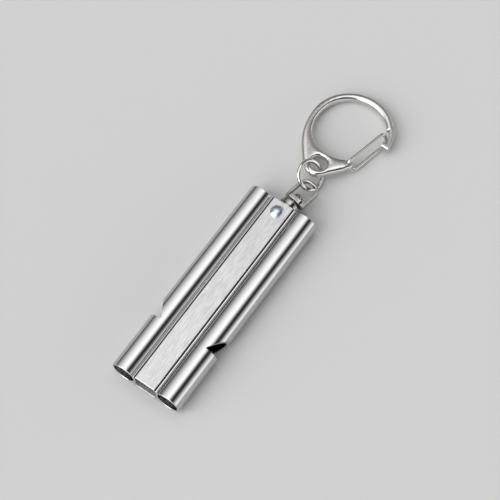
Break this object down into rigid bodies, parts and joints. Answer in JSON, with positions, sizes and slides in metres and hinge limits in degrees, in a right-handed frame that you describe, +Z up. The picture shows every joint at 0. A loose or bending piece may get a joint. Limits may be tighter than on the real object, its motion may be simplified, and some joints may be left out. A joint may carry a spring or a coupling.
{
  "type": "survival whistle",
  "caption": "Flat metal tube whistle with side windows, a swivel, a jump ring and a wire-gate snap clip for hanging it on a cord or bag.",
  "frame": {"origin": "bottom centre of the whole object's box, as it lies on a table with its clip stretched out", "axes": "+Y from the whistle's mouth end towards the clip, +Z up out of the flat face, +X to the right seen from the mouth end"},
  "size_m": [0.0228, 0.0988, 0.0074],
  "materials": {
    "shell": "polished tubes, flat face brushed lengthwise",
    "plug": "turned, satin",
    "rivet": "zinc-coated, satin, slightly blue",
    "swivel": "nickel-plated casting, satin to bright",
    "ring": "nickel-plated round wire, bright",
    "clip": "nickel-plated casting, bright with a satin base",
    "gate": "nickel-plated spring wire, bright"
  },
  "bodies": {
    "whistle": {"whistle_body": "shell", "fipple_plug_left": "plug", "fipple_plug_right": "plug", "rear_plug_left": "plug", "rear_plug_right": "plug", "rivet": "rivet"},
    "stem": {"swivel_stem": "swivel"},
    "shackle": {"swivel_shackle": "swivel"},
    "ring": {"jump_ring": "ring"},
    "clip": {"clip_body": "clip"},
    "gate": {"gate_wire": "gate"}
  },
  "joints": [
    {"name": "stem_turn", "type": "hinge", "parent": "whistle", "child": "stem", "pos_m": [-0.00121, 0.0064, 0.00345], "axis": [0, 0, 1], "range_deg": [-2, 24]},
    {"name": "shackle_spin", "type": "hinge", "parent": "stem", "child": "shackle", "pos_m": [0.00003, 0.01278, 0.00345], "axis": [0.1908, 0.9816, 0], "continuous": true},
    {"name": "ring_swing", "type": "hinge", "parent": "shackle", "child": "ring", "pos_m": [0.00126, 0.01906, 0.00345], "axis": [0.9743, -0.1894, 0.1219], "range_deg": [-100, 0]},
    {"name": "clip_swing", "type": "hinge", "parent": "ring", "child": "clip", "pos_m": [-0.00096, 0.02489, 0.003], "axis": [-0.0359, 0.0698, 0.9969], "range_deg": [-70, 70]},
    {"name": "gate_swing", "type": "hinge", "parent": "clip", "child": "gate", "pos_m": [0.00532, 0.02917, 0.00293], "axis": [-0.0359, 0.0698, 0.9969], "range_deg": [0, 28], "stiffness_Nm_per_rad": 0.02, "springref_deg": -28.65}
  ]
}
